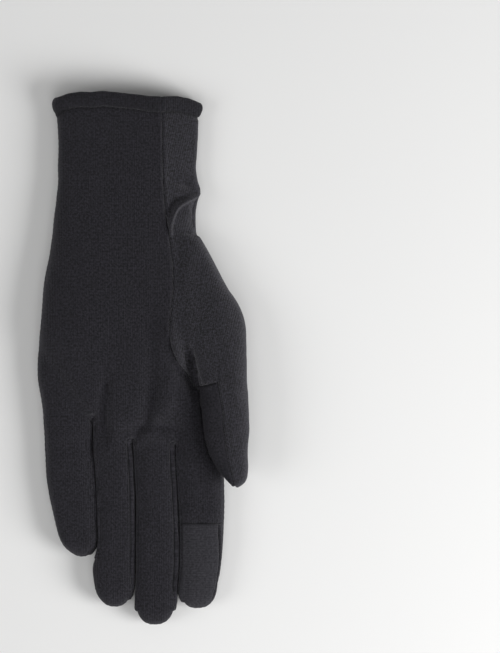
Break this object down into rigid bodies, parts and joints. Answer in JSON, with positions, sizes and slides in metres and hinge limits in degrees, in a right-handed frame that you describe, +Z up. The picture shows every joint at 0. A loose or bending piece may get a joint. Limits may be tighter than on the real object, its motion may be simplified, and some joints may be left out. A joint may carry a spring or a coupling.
{
  "type": "glove liner",
  "caption": "Left-hand fine-knit glove liner with a long cuff, turned hem, set-in thumb, gussets between the fingers and touch fabric on the index tip and thumb.",
  "frame": {"origin": "centre of the glove's outline at the level of the surface it lies on", "axes": "+Y toward the cuff, -Y toward the fingertips, +X toward the thumb, +Z up out of the palm; the glove lies on its back"},
  "size_m": [0.1012, 0.2559, 0.026],
  "materials": {
    "palm_knit": "fine dark charcoal jersey knit",
    "thumb_knit": "fine dark charcoal jersey knit",
    "thumb_touch_fabric": "smooth charcoal touch knit",
    "index_touch_fabric": "paler, smooth touch knit with fine cross ribs"
  },
  "bodies": {
    "root": {"palm_panel": "palm_knit", "back_panel": "palm_knit", "thumb_panel": "thumb_knit", "thumb_touch_panel": "thumb_touch_fabric", "index_touch_patch": "index_touch_fabric", "fourchette_index_middle": "palm_knit", "fourchette_middle_ring": "palm_knit", "fourchette_ring_little": "palm_knit", "cuff_hem": "palm_knit"}
  },
  "joints": []
}
